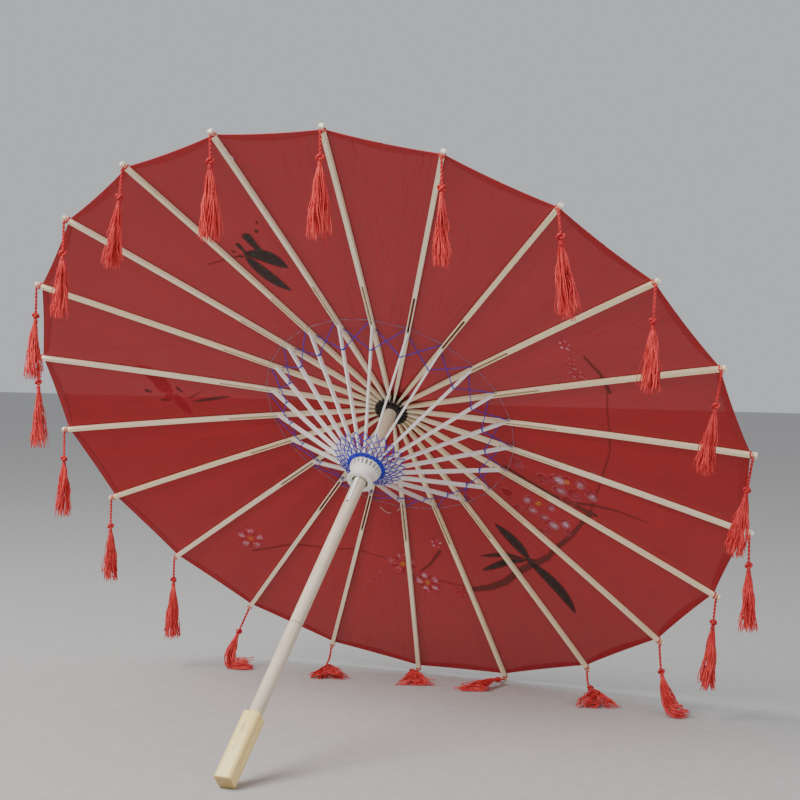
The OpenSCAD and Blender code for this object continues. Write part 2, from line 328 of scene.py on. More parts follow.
def moulded(dark, light, rough_low, rough_high):
    def paint():
        x, y, z = own_frame()
        scuff = noise(joined(x * 0.5, y * 0.5, z * 0.5), 1.0, 5.0, 0.65)
        fine = noise(joined(x * 4.0, y * 4.0, z * 4.0), 1.0, 2.0)
        return {
            "Base Color": mixed(rgb(*dark), rgb(*light), scuff.ramp(0.35, 0.7)),
            "Roughness": scuff.ramp(0.3, 0.7, rough_low, rough_high),
            "Normal": (fine * 0.4 + scuff).bump(0.12, 0.0003),
        }

    return paint


def wire():
    x, y, z = own_frame()
    tarnish = noise(joined(x, y, z), 1.2, 4.0)
    return {
        "Base Color": mixed(rgb(0.42, 0.4, 0.37), rgb(0.62, 0.61, 0.6), tarnish.ramp(0.3, 0.7)),
        "Metallic": 1.0,
        "Roughness": tarnish.ramp(0.3, 0.7, 0.25, 0.5),
        "Normal": tarnish.bump(0.1, 0.0002),
    }


def thread(dark, light, sheen=0.45):
    """Twisted yarn: fine slanted ridges and uneven dye."""
    def paint():
        where = Value.node("TexCoord", {}, {}, out=3)
        x, y, z = axes(where)
        fibre = noise(joined(x * 2600.0, y * 2600.0, z * 900.0), 1.0, 2.0)
        dye = noise(joined(x * 90.0, y * 90.0, z * 45.0), 1.0, 3.0)
        colour = mixed(rgb(*dark), rgb(*light), (fibre * 0.6 + dye * 0.4).ramp(0.36, 0.62))
        return {
            "Base Color": colour,
            "Roughness": dye.ramp(0.3, 0.7, sheen, sheen + 0.2),
            "Specular IOR Level": 0.3,
            "Normal": fibre.bump(0.5, 0.0003),
        }

    return paint


BAMBOO = material("split bamboo", bamboo)
WHITE_BAMBOO = material("white painted bamboo", white_bamboo)
DOWEL = material("pale dowel", dowel)
VARNISH = material("yellow varnished wood", varnished)
BLACK = material("black plastic", moulded((0.008, 0.008, 0.009), (0.025, 0.025, 0.026), 0.32, 0.5))
IVORY = material("ivory plastic", moulded((0.87, 0.85, 0.78), (0.93, 0.92, 0.87), 0.24, 0.4))
WIRE = material("wire", wire)
WHITE_THREAD = material("white thread", thread((0.6, 0.52, 0.52), (0.85, 0.8, 0.78)))
BLUE = material("blue thread", thread((0.01, 0.012, 0.32), (0.035, 0.045, 0.62)))
GREY = material("grey thread", thread((0.14, 0.1, 0.2), (0.34, 0.28, 0.4)))
RED_YARN = material("red yarn", thread((0.5, 0.012, 0.018), (0.93, 0.11, 0.1), 0.4))
RED_CORD = material("red cord", thread((0.36, 0.008, 0.014), (0.76, 0.06, 0.06), 0.45))


# ---------------------------------------------------------------- painted cloth
def cloth():
    """Thin red cloth; brush-painted sprays placed in plan, millimetres from the shaft."""
    plan = Value.node("UVMap", {"uv_map": "plan"}, {})
    u, v, _ = axes(plan)
    u, v = (u - 0.5) * 900.0, (v - 0.5) * 900.0
    where = joined(u, v)
    r = (u * u + v * v) ** 0.5
    gore = v.maths("ARCTAN2", u) / PITCH + (RIBS + 0.0) + RIBS / 4 + 0.0
    away = gore - gore.maths("FLOOR") - 0.5
    across = r * (away * PITCH).maths("SINE")
    along = r * (away * PITCH).maths("COSINE")
    number = gore.maths("FLOOR")

    # threads of the weave, slubs and wrinkles
    warp = noise(joined(along * 0.035 + number * 4.3, across * 1.4), 1.0, 3.0, 0.7)
    weft = noise(joined(along * 1.4, across * 0.04 + number * 2.9), 1.0, 3.0, 0.7)
    slub = noise(joined(along * 0.01 + number * 1.9, across * 0.5), 1.0, 2.0)
    cloudy = noise(where, 0.012, 3.0)
    weave = warp * 0.6 + weft * 0.4
    red = mixed(rgb(0.33, 0.008, 0.011), rgb(0.45, 0.013, 0.016), weave.ramp(0.35, 0.62))
    red = mixed(red, rgb(0.24, 0.005, 0.009), slub.ramp(0.56, 0.72) * 0.5)
    red = mixed(red, rgb(0.45, 0.016, 0.02), cloudy.ramp(0.45, 0.7) * 0.25)
    # painted light: the cloth is painted a brighter, purer red towards the crown
    red = mixed(red, rgb(0.66, 0.01, 0.01), r.ramp(30.0, 120.0, 0.55, 0.0))
    solid = weave.ramp(0.3, 0.7, 0.92, 0.965) + slub.ramp(0.56, 0.72) * 0.01

    # seam allowance along the ribs, where the cloth is glued down
    seam = (abs(away) * (PITCH * r)).ramp(2.6, 4.0, 1.0, 0.0)
    red = mixed(red, rgb(0.2, 0.012, 0.016), seam * 0.5)
    solid = solid + seam * 0.05

    wet = noise(where, 0.16, 4.0, 0.7)
    dry = noise(where, 0.6, 4.0, 0.7)
    rough_edge = (wet - 0.5) * 5.0 + (dry - 0.5) * 2.0

    def stroke(points, thick, thin=None):
        """Distance inside a brush stroke along points: above zero in the paint."""
        best = None
        thin = thick if thin is None else thin
        steps = len(points) - 1
        for i, (a, b) in enumerate(zip(points, points[1:])):
            ab = (b[0] - a[0], b[1] - a[1])
            size2 = ab[0] ** 2 + ab[1] ** 2
            pu, pv = u - a[0], v - a[1]
            share = (pu * (ab[0] / size2) + pv * (ab[1] / size2))
            share = Value.node("Clamp", {}, {0: share, 1: 0.0, 2: 1.0})
            du, dv = pu - share * ab[0], pv - share * ab[1]
            away = (du * du + dv * dv) ** 0.5
            wide = thick + (thin - thick) * (i / steps)
            narrower = (thin - thick) / steps
            inside = share * narrower + wide - away
            best = inside if best is None else best.most(inside)
        return best

    def leaf(tail, tip, wide, bow=0.0):
        """A lens-shaped stroke from tail to tip: above zero in the paint."""
        du, dv = tip[0] - tail[0], tip[1] - tail[1]
        size = math.hypot(du, dv)
        du, dv = du / size, dv / size
        pu, pv = u - tail[0], v - tail[1]
        t = (pu * du + pv * dv) / size
        n = pv * du - pu * dv
        swell = t * (1.0 - t) * 4.0
        n = n - swell * bow
        body = swell.most(0.0) ** 0.75 * wide - abs(n)
        return body - swell.ramp(-0.2, 0.0, 9.0, 0.0)

    bristle = noise(joined(u * 0.9 + v * 0.35, v * 0.3 - u * 0.12), 1.0, 3.0, 0.7)

    def shown(inside, soft=0.9, edge=0.42):
        """Paint cover from the distance inside a stroke, with a ragged, drier rim."""
        ragged = inside + rough_edge * edge + (bristle - 0.5) * 3.0
        return ragged.ramp(-soft, soft) * (inside - 2.4 + (bristle - 0.45) * 9.0).ramp(-3.6, 1.2, 0.58, 1.0)

    ink = rgb(0.02, 0.021, 0.018)
    green_ink = rgb(0.022, 0.07, 0.052)
    brown = rgb(0.085, 0.03, 0.026)

    def lay(share, colour, cover=1.0):
        nonlocal red, solid
        red = mixed(red, colour, share * cover)
        solid = solid + share * cover * 0.16

    def spray(strokes, colour, second, cover):
        """Several strokes as one wash, so that crossings don't darken twice."""
        best = None
        for inside in strokes:
            best = inside if best is None else best.most(inside)
        tint = mixed(colour, second, wet.ramp(0.5, 0.62) * bristle.ramp(0.42, 0.56))
        lay(shown(best), tint, cover)

    # long curving branch and its twigs
    spray(
        [
            stroke([(44, 271), (66, 263), (88, 252)], 4.0, 5.0),
            stroke([(88, 252), (124, 222), (151, 204)], 5.0, 4.4),
            stroke([(151, 204), (188, 163), (206, 140)], 3.6, 2.4),
            stroke([(206, 140), (216, 126)], 3.0, 5.0),
            stroke([(124, 71), (146, 88), (172, 106), (196, 116)], 2.6, 3.4),
            stroke([(196, 116), (208, 122), (222, 128)], 4.4, 3.4),
            stroke([(198, 113), (223, 111), (253, 115), (284, 126)], 2.4, 0.8),
            stroke([(217, 124), (236, 78), (257, 25), (266, -40), (270, -66)], 1.2, 0.6),
            stroke([(255, -112), (266, -90), (272, -64)], 1.6, 2.6),
            stroke([(-240, 217), (-190, 210), (-149, 211), (-99, 217), (-64, 226)], 1.3, 0.6),
            stroke([(-22, 248), (-4, 232), (12, 212)], 1.2, 2.4),
            stroke([(-18, 252), (14, 262), (44, 271)], 0.5, 0.9),
        ],
        brown, rgb(0.05, 0.045, 0.038), 0.8,
    )
    # bamboo leaves under the branch
    spray(
        [
            leaf((122, 210), (172, 290), 8.0, -7.0),
            leaf((128, 212), (93, 160), 7.6, 2.5),
            leaf((126, 211), (64, 213), 3.4, 1.5),
            leaf((124, 213), (62, 236), 5.0, 2.0),
            leaf((116, 212), (136, 210), 2.6),
        ],
        ink, green_ink, 0.94,
    )
    # swallow-tailed butterfly with its trail of dots
    spray(
        [
            leaf((-92, -249), (-48, -225), 9.5, -7.0),
            leaf((-91, -248), (-56, -192), 8.5, 4.0),
            stroke([(-70, -250), (-75, -265), (-77, -272)], 4.0, 6.0),
            stroke([(-88, -250), (-92, -261)], 2.2, 3.4),
            stroke([(-138, -236), (-110, -241), (-98, -244)], 0.5, 1.0),
            stroke([(-64, -279), (-64, -280)], 2.2),
            stroke([(-59, -290), (-59, -292)], 1.2),
            stroke([(-103, -251), (-101, -251)], 1.4),
            stroke([(-97, -244), (-95, -244)], 2.0),
        ],
        ink, green_ink, 0.94,
    )
    # small dark-winged moth on the left
    spray(
        [
            leaf((-257, -46), (-286, -92), 8.5, 2.0),
            leaf((-258, -46), (-272, -70), 7.0, -3.0),
            leaf((-254, -44), (-248, -8), 6.5, 1.0),
            leaf((-257, -44), (-272, -34), 4.5),
        ],
        rgb(0.33, 0.008, 0.016), rgb(0.4, 0.012, 0.02), 0.95,
    )
    spray(
        [
            stroke([(-288, -52), (-284, -50)], 2.6, 1.6),
            stroke([(-274, -36), (-266, -35)], 1.8, 1.2),
            stroke([(-249, -52), (-245, -46)], 2.2, 1.4),
            leaf((-238, -30), (-188, -34), 2.6),
            stroke([(-238, -36), (-222, -44)], 0.9, 0.4),
        ],
        ink, rgb(0.05, 0.04, 0.035), 0.85,
    )

    # plum blossoms: five dabbed petals with dark rims and broken white highlights
    def blossom(at, size, spin, pale=1.0, heart=0.0):
        nonlocal red, solid
        du, dv = u - at[0], v - at[1]
        away = (du * du + dv * dv) ** 0.5 / size
        fan = abs((dv.maths("ARCTAN2", du) * 2.5 + spin).maths("COSINE"))
        rim = away / (fan**0.5 * 0.4 + 0.6) + (dry - 0.5) * 0.5 + (wet - 0.5) * 0.5
        petal = rim.ramp(0.86, 1.04, 1.0, 0.0)
        outline = abs(rim - 0.9).ramp(0.0, 0.16, 1.0, 0.0) * petal
        fold = fan.ramp(0.05, 0.4, 1.0, 0.0) * away.ramp(0.15, 0.45) * petal
        shine = abs(rim - 0.62).ramp(0.08, 0.28, 1.0, 0.0) * fan.ramp(0.55, 0.9)
        shine = shine * (wet * 0.6 + bristle * 0.4).ramp(0.46, 0.56)
        red = mixed(red, rgb(0.46, 0.03, 0.045), petal * 0.5)
        red = mixed(red, rgb(0.52, 0.13, 0.17), outline * wet.ramp(0.44, 0.6) * (0.55 * pale))
        red = mixed(red, rgb(0.2, 0.004, 0.01), fold * 0.75)
        red = mixed(red, rgb(0.2, 0.004, 0.01), outline * wet.ramp(0.4, 0.54, 1.0, 0.0) * 0.6)
        red = mixed(red, rgb(0.62, 0.42, 0.5), shine * petal * pale)
        if heart:
            red = mixed(red, rgb(0.55, 0.2, 0.02), (rim + dry * 0.2).ramp(0.2, 0.36, heart, 0.0))
        solid = solid + petal * 0.03

    for at, size, spin, pale, heart in (
        ((-236, 196), 20, 0.3, 0.7, 0.5),
        ((-43, 237), 21, 0.5, 0.55, 0.8),
        ((-15, 264), 19, 1.3, 0.8, 0.75),
        ((10, 200), 8, 0.2, 0.8, 0.0),
        ((27, 276), 11, 0.9, 0.1, 0.0),
        ((36, 258), 6, 0.4, 0.1, 0.0),
        ((236, -126), 8, 0.2, 0.8, 0.0),
        ((238, -104), 8, 1.2, 0.4, 0.0),
        ((240, -86), 11, 0.8, 0.5, 0.0),
        ((248, -72), 8, 0.3, 0.4, 0.0),
        ((-93, 266), 4, 0.0, 0.3, 0.0),
        ((-75, 250), 4, 1.0, 0.3, 0.0),
    ):
        blossom(at, size, spin, pale, heart)

    streak = noise(joined(u * 0.8 + v * 0.5, v * 0.2 - u * 0.12), 1.0, 3.0, 0.75)

    def petal(at, size, turned_by, white):
        """One dab: a crimson drop with a thin pale rim and a broken white highlight to one side."""
        nonlocal red, solid
        c, s = math.cos(turned_by), math.sin(turned_by)
        du, dv = u - at[0], v - at[1]
        p, q = (du * c + dv * s) / size, (dv * c - du * s) * 1.2 / size
        ragged = (dry - 0.5) * 0.5 + (wet - 0.5) * 0.6
        rim = (p * p + q * q) ** 0.5 + ragged
        lit = ((p - 0.22) * (p - 0.22) + q * q) ** 0.5 + ragged * 1.3 + (bristle - 0.5) * 0.5
        inside = rim.ramp(0.92, 1.06, 1.0, 0.0)
        outline = abs(rim - 0.88).ramp(0.03, 0.2, 1.0, 0.0)
        red = mixed(red, rgb(0.25, 0.006, 0.016), inside * 0.5)
        red = mixed(red, rgb(0.52, 0.1, 0.12), outline * wet.ramp(0.4, 0.54) * 0.6)
        streaks = streak.ramp(0.42, 0.56, 0.25, 1.0)
        red = mixed(red, rgb(0.6, 0.46, 0.55), lit.ramp(0.12, 0.86, 1.0, 0.0) * streaks * white)
        solid = solid + inside * 0.03

    for at, size, turned_by, white in (
        ((186, 79), 10.5, 0.4, 0.95),
        ((168, 80), 9, 1.2, 0.1),
        ((185, 96), 10, 0.3, 0.6),
        ((213, 82), 8, 2.0, 0.65),
        ((202, 99), 10, 1.0, 0.15),
        ((223, 97), 9.5, 1.3, 0.6),
        ((228, 67), 8, 0.6, 0.8),
        ((140, 62), 9, 1.1, 0.15),
        ((118, 109), 9, 0.4, 0.0),
        ((143, 116), 7.5, 2.3, 0.7),
        ((144, 131), 8.5, 0.3, 0.7),
        ((158, 141), 7.5, 0.0, 0.5),
        ((167, 150), 9.5, 0.8, 0.95),
        ((183, 146), 8.5, 1.4, 0.8),
        ((153, 167), 9.5, 0.7, 0.15),
        ((184, 160), 6, 2.0, 0.1),
        ((169, 125), 6, 0.9, 0.5),
        ((192, 112), 10, 0.5, 0.05),
        ((128, 132), 7, 0.2, 0.1),
        ((66, 128), 8, 0.4, 0.1),
        ((196, 76), 5, 0.0, 0.0),
    ):
        petal(at, size, turned_by, white)
    for at in ((197, 81), (155, 120)):
        du, dv = u - at[0], v - at[1]
        dab = ((du * du + dv * dv) ** 0.5 + (wet - 0.5) * 6.0).ramp(2.0, 4.4, 1.0, 0.0)
        red = mixed(red, rgb(0.55, 0.2, 0.015), dab * dry.ramp(0.42, 0.56, 0.35, 0.9))

    solid = solid.least(0.985)
    return {
        "Base Color": red,
        "Alpha": solid,
        "Roughness": weave.ramp(0.3, 0.7, 0.5, 0.72),
        "Specular IOR Level": 0.12,
        "Normal": (weave + slub * 0.6 + cloudy * 1.5).bump(0.35, 0.0006),
    }


def hem_cloth():
    """Doubled cloth: deeper red, with soft folds."""
    where = Value.node("TexCoord", {}, {}, out=3)
    fold, weave = noise(where, 60.0, 2.0), noise(where, 1500.0, 2.0)
    tone = (fold * 0.35 + weave * 0.65).ramp(0.3, 0.7)
    return {
        "Base Color": mixed(rgb(0.32, 0.006, 0.01), rgb(0.44, 0.011, 0.016), tone),
        "Alpha": weave.ramp(0.3, 0.7, 0.9, 0.98),
        "Roughness": fold.ramp(0.3, 0.7, 0.5, 0.7),
        "Normal": (fold + weave * 0.4).bump(0.4, 0.0005),
    }


CLOTH = material("painted red cloth", cloth)
HEM = material("folded red hem", hem_cloth)

for name, made in (
    [(f"rib_{two(k)}", BAMBOO) for k in range(RIBS)]
    + [(f"stretcher_{two(k)}", WHITE_BAMBOO) for k in range(RIBS)]
    + [("shaft_upper", DOWEL), ("shaft_lower", DOWEL), ("shaft_dowel", DOWEL)]
    + [("handle", VARNISH), ("catch", WHITE_BAMBOO), ("top_notch", BLACK), ("crown_cap", BLACK)]
    + [("runner", IVORY), ("notch_wire", WIRE), ("runner_pins", WIRE)]
):
    node = bpy.data.objects[name]
    node.data.materials.clear()
    node.data.materials.append(made)


# ---------------------------------------------------------------- making pieces
def smooth(obj):
    for p in obj.data.polygons:
        p.use_smooth = True


def solid_from(name, verts, faces, made, body):
    """A smooth mesh piece that rides a body."""
    mesh = bpy.data.meshes.new(name)
    mesh.from_pydata([tuple(v) for v in verts], [], faces)
    mesh.materials.append(made)
    obj = bpy.data.objects.new(name, mesh)
    bpy.context.scene.collection.objects.link(obj)
    smooth(obj)
    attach(obj, body)
    return obj


def tubes(name, lines, made, body, sides=6):
    """Round threads: lines is a list of (points in metres, radius or radii, closed)."""
    verts, faces = [], []
    turns = np.linspace(0, 2 * math.pi, sides, endpoint=False)
    ring = np.stack([np.cos(turns), np.sin(turns)], 1)
    for line, radius, closed in lines:
        line = np.asarray(line, float)
        n = len(line)
        radii = np.broadcast_to(np.asarray(radius, float), (n,))
        if closed:
            along = np.roll(line, -1, 0) - np.roll(line, 1, 0)
        else:
            along = np.gradient(line, axis=0)
        along /= np.linalg.norm(along, axis=1)[:, None] + 1e-12
        side = np.cross(along[0], np.eye(3)[np.argmin(abs(along[0]))])
        side /= np.linalg.norm(side)
        base = len(verts)
        for i in range(n):
            side = side - along[i] * side.dot(along[i])
            side /= np.linalg.norm(side)
            up = np.cross(along[i], side)
            verts.extend(line[i] + radii[i] * (ring[:, :1] * side + ring[:, 1:] * up))
        for i in range(n if closed else n - 1):
            a, b = base + i * sides, base + (i + 1) % n * sides
            for j in range(sides):
                q = (j + 1) % sides
                faces.append((a + j, a + q, b + q, b + j))
        if not closed:
            faces.append(tuple(base + j for j in range(sides))[::-1])
            faces.append(tuple(base + (n - 1) * sides + j for j in range(sides)))
    return solid_from(name, verts, faces, made, body)


def between(a, b, count):
    """Points from a to b, given in the umbrella's own frame."""
    t = np.linspace(0, 1, count)[:, None]
    return laid(np.asarray(a) * (1 - t) + np.asarray(b) * t)


# ---------------------------------------------------------------- canopy
ALONG, ACROSS = 56, 20


def cloth_height(r):
    """Height of the cloth over the ribs at r from the shaft."""
    on_ribs = rib_line(r - HINGE_R) + RIB_ABOVE + 0.35
    # near the middle the cloth climbs over the notch
    blend = np.clip((44 - r) / 20, 0, 1)
    return on_ribs * (1 - blend**1.5) + 6.6 * blend**1.5


def cloth_points(k, share, w):
    """Points of the cloth: share from the crown to the rim, w from rib k to its neighbours, in pitches."""
    dip = 4 * abs(w) * (1 - abs(w))
    scallop = 1.6 * dip * share**5
    r = CLOTH_IN + (CLOTH_R - CLOTH_IN) * share - scallop
    a, b = turn(k), turn(k) + np.sign(w) * PITCH
    x = r * (np.cos(a) * (1 - abs(w)) + np.cos(b) * abs(w))
    y = r * (np.sin(a) * (1 - abs(w)) + np.sin(b) * abs(w))
    # flat on the ribs, hanging a little between them
    flat = np.minimum(2.6 / (PITCH * r), 0.4)
    free = np.clip((abs(w) - flat) / (1 - 2 * flat), 0, 1)
    sag = 4 * free * (1 - free)
    slack = 3.2 * sag * np.sin(np.pi * np.clip(share, 0, 1)) ** 0.9 + 0.8 * sag * share**4
    return np.stack([x, y, cloth_height(r) - slack], -1)


def gore(k):
    """The cloth glued to rib k, out to half way to each neighbour."""
    bpy.ops.mesh.primitive_grid_add(x_subdivisions=ALONG, y_subdivisions=ACROSS, size=1, calc_uvs=True)
    obj = bpy.context.object
    obj.name = obj.data.name = f"cloth_{two(k)}"
    mesh = obj.data
    flat = np.zeros(len(mesh.vertices) * 3)
    mesh.vertices.foreach_get("co", flat)
    flat = flat.reshape(-1, 3)
    along = np.clip(flat[:, 0] + 0.5, 0, 1) ** 0.9
    points = cloth_points(k, along, np.clip(flat[:, 1], -0.5, 0.5))
    mesh.vertices.foreach_set("co", laid(points).ravel())
    mesh.update()
    layer = mesh.uv_layers.active
    layer.name = "plan"
    corners = np.zeros(len(mesh.loops), int)
    mesh.loops.foreach_get("vertex_index", corners)
    layer.data.foreach_set("uv", (points[corners, :2] / 900 + 0.5).ravel())
    mesh.materials.append(CLOTH)
    smooth(obj)
    outward = turned((0, 0, 1))
    if mesh.polygons[0].normal.dot(outward) < 0:
        mesh.flip_normals()
    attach(obj, f"rib_{two(k)}")
    return obj, points


def hem(k):
    """The turned edge: a strip of double cloth inside the rim and its rolled edge."""
    w = np.linspace(-0.5, 0.5, 25)
    dip = 4 * abs(w) * (1 - abs(w))
    broad = (3.6 + 4.4 * dip) / (CLOTH_R - CLOTH_IN)
    rows = []
    for j in range(6):
        inward = j / 5
        p = cloth_points(k, 1 - broad * inward, w)
        p[:, 2] -= 0.55 + 0.25 * math.sin(inward * math.pi)
        rows.append(laid(p))
    verts = np.concatenate(rows)
    n = len(w)
    faces = [
        (j * n + i, j * n + i + 1, (j + 1) * n + i + 1, (j + 1) * n + i)
        for j in range(5)
        for i in range(n - 1)
    ]
    strip = solid_from(f"hem_{two(k)}", verts, faces, HEM, f"rib_{two(k)}")
    if strip.data.polygons[0].normal.dot(turned((0, 0, 1))) > 0:
        strip.data.flip_normals()
    edge = cloth_points(k, np.ones(25), w)
    edge[:, 2] -= 0.3
    roll = tubes(f"hem_edge_{two(k)}", [(laid(edge), 0.55 * MM, False)], HEM, f"rib_{two(k)}", 8)
    return strip, roll


for k in range(RIBS):
    obj, points = gore(k)
    strip, roll = hem(k)
    side, foot = sideways(k), laid(on_rib(k, 200, 0, cloth_height(200.0)))
    for piece in (obj, strip, roll):
        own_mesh(piece)
    f"rib_{two(k)}"
    if k == 0:
        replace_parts(obj, "canopy")

# the crown: cloth gathered over the notch under the cap
rows, n = [], RIBS * 6
for j in range(7):
    r = 15.0 + (27.0 - 15.0) * j / 6
    a = np.linspace(0, 2 * math.pi, n, endpoint=False) + turn(0)
    pleat = 0.35 * np.cos(a * RIBS - turn(0) * RIBS) * (j / 6)
    z = cloth_height(np.full(n, max(r, 24.0))) + 0.25 + pleat - 0.05 * j
    if r < 24:
        z = z * 0 + 6.55 + pleat
    rows.append(laid(np.stack([r * np.cos(a), r * np.sin(a), z], -1)))
verts = np.concatenate(rows)
faces = [
    (j * n + i, (j + 1) * n + i, (j + 1) * n + (i + 1) % n, j * n + (i + 1) % n)
    for j in range(6)
    for i in range(n)
]
crown = solid_from("crown_cloth", verts, faces, HEM, "shaft")


# ---------------------------------------------------------------- threads
def wrap(k, d, turns=2):
    """Turns of thread around stretcher k, d from its rib joint."""
    w, h = STRETCHER_WIDTH / 2 + 0.35, STRETCHER_DEPTH / 2 + 0.35
    corners = []
    for i in range(turns * 4 + 1):
        s, rise = [(w, h), (-w, h), (-w, -h), (w, -h)][i % 4]
        corners.append(on_stretcher(k, d + i * 0.16, s, rise))
    return laid(np.array(corners)), 0.35 * MM, False


def halves(lines, a_body, a, b_body, b, radius):
    """A thread from a on one body to b on its neighbour, cut half way; each half rides its own body."""
    mid = (a + b) / 2
    for body, end in ((a_body, a), (b_body, b)):
        lines.setdefault(body, []).append((between(end, mid, 5), radius * MM, False))


def rides(lines, made, name):
    """One piece of thread for each body."""
    pieces = []
    for body, own in lines.items():
        k = int(body[-2:]) - 1
        piece = tubes(f"{name}_{body}", own, made, body, 6)
        spot = laid(on_rib(k, JOINT_R, 0, JOINT_Z))
        sideways(k)
        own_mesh(piece)
        pieces.append(piece)
    return pieces


beside_rib, beside_arm = RIB_WIDTH / 2 + 0.2, STRETCHER_WIDTH / 2 + 0.2
under_arm = -STRETCHER_DEPTH / 2 - 0.45
blue, grey = {}, {}
for k in range(RIBS):
    rib, arm = f"rib_{two(k)}", f"stretcher_{two(k)}"
    for to in (1, -1):
        n = (k + to) % RIBS
        # crossed lacing between this rib and the next stretcher
        a = on_rib(k, JOINT_R - 6 * to, beside_rib * to, rib_line(JOINT_R - 6 * to - HINGE_R) + 0.5)
        halves(blue, rib, a, f"stretcher_{two(n)}", on_stretcher(n, 26, -beside_arm * to), 0.5)
        # net out from the runner
        for near, far in ((5, 12), (12, 19), (19, 29)):
            near, far = (d + 1.3 * math.sin(d * 7.3 + k * 2.1 + to) for d in (near, far))
            a = on_stretcher(k, STRETCHER - near, beside_arm * to * 0.4, under_arm)
            b = on_stretcher(n, STRETCHER - far, -beside_arm * to * 0.4, under_arm)
            halves(blue, arm, a, f"stretcher_{two(n)}", b, 0.5)
    n = (k + 1) % RIBS
    a, b = (
        on_rib(q, JOINT_R + 8, beside_rib * to, rib_line(JOINT_R + 8 - HINGE_R) + 0.8)
        for q, to in ((k, 1), (n, -1))
    )
    halves(grey, rib, a, f"rib_{two(n)}", b, 0.32)
    blue[arm].append(wrap(k, 25.5))
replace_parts(rides(blue, BLUE, "blue_thread")[0], "rib_lacing")
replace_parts(rides(grey, GREY, "grey_thread")[0], "spacer_thread")

# thread wound round and round under the stretchers, against the runner
lines = []
for i in range(4):
    r = 18.6 + i * 0.85
    a = np.linspace(0, 2 * math.pi, RIBS * 8, endpoint=False)
    under = -RUNNER_DROP + (r - HINGE_R) * math.tan(RISE) - STRETCHER_DEPTH / 2 / math.cos(RISE) - 0.7
    wave = 0.35 * np.cos((a - turn(0)) * RIBS) + 0.2 * np.sin(a * 7 + i * 2)
    rr = r + 0.12 * np.sin(a * 5 + i)
    lines.append((laid(np.stack([rr * np.cos(a), rr * np.sin(a), under + wave], -1)), 0.62 * MM, True))
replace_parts(tubes("runner_winding", lines, BLUE, "runner", 6), "runner_lacing")

# loose white thread ends
t = np.linspace(0, 1, 24)
loop = [
    on_rib(
        21, 399 - 24 * q, 3 + 5 * math.sin(q * math.pi) + 2 * math.sin(q * 14), rib_line(380) - 3 - 2 * q
    )
    for q in t
]
tubes("loose_thread_tip", [(laid(np.array(loop)), 0.28 * MM, False)], WHITE_THREAD, "rib_22", 6)
loop = [
    on_rib(11, 147 + 13 * math.sin(q * math.pi), 3 + 24 * q, rib_line(131) - 2 + 3 * math.sin(q * 5))
    for q in t
]
end = tubes("loose_thread_ring", [(laid(np.array(loop)), 0.28 * MM, False)], WHITE_THREAD, "rib_12", 6)
joint = laid(on_rib(11, JOINT_R, 0, JOINT_Z))
sideways(11)
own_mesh(end)


# ---------------------------------------------------------------- tassels
SWAY = [0, 1, 6, -2, -9, -9, 0, -5, 0, 0, 0, 0, 0, 0, -1, -1, 0, 2, -1, -2, -6, 1]
KNOT, NECK = 7.5, 5.0
TASSEL = 104.0
CORE = 66.0
FLOOR = 2.6
# how the lowest tassels drop to the ground: sideways, along and height, millimetres
FALLEN = {
    8: [(4, -6, 43), (14, -22, 24), (24, -36, 8), (32, -40, 3), (56, -26, FLOOR)],
    9: [(3, -6, 14), (10, -20, 11), (24, -44, 8), (38, -80, FLOOR)],
    10: [(-3, -7, FLOOR), (-2, -16, 3.5), (2, -26, 6), (2, -36, 9), (-4, -52, 7), (-14, -80, FLOOR)],
    11: [(-4, -8, FLOOR), (-3, -17, 3.5), (2, -26, 6), (8, -36, 9), (16, -54, 6), (28, -80, FLOOR)],
    12: [
        (-1, -2, 12), (-4, -8, 3), (4, -14, 4), (8, -20, 6), (18, -44, 4), (30, -68, FLOOR), (42, -98, FLOOR),
    ],
    13: [(-7, -14, 46), (-14, -22, 22), (-12, -24, 6), (2, -20, 2.8), (34, -8, FLOOR)],
}
FANNED = (9, 10, 11, 12)


def fall(start, k, length, count):
    """Centre line of a tassel, metres: hanging with a little sway, or fallen to the ground."""
    if k in FALLEN:
        x, y, z = np.array(start) / MM
        keys = np.array([(x, y, z)] + [(x + a, y + b, c) for a, b, c in FALLEN[k]])
        for _ in range(4):
            keep = keys[:-1] * 0.75 + keys[1:] * 0.25, keys[:-1] * 0.25 + keys[1:] * 0.75
            keys = np.concatenate([keys[:1], np.stack(keep, 1).reshape(-1, 3), keys[-1:]])
        keys *= MM
    else:
        sway = math.radians(SWAY[k])
        down = np.array((math.sin(sway), 0, -math.cos(sway)))
        keys = np.array([start, np.array(start) + down * 2 * length * MM])
    far = np.concatenate([[0], np.cumsum(np.linalg.norm(np.diff(keys, axis=0), axis=1))])
    at = np.linspace(0, length * MM, count)
    return np.stack([np.interp(at, far, keys[:, i]) for i in range(3)], 1)


def beside(line, angle, reach):
    """A line beside another one, reach away at angle around it."""
    along = np.gradient(line, axis=0)
    along /= np.linalg.norm(along, axis=1)[:, None]
    a = np.cross(along, (0.31, 0.92, 0.24))
    a /= np.linalg.norm(a, axis=1)[:, None]
    b = np.cross(along, a)
    angle, reach = np.asarray(angle), np.asarray(reach)
    return line + a * (np.cos(angle) * reach)[:, None] + b * (np.sin(angle) * reach)[:, None]


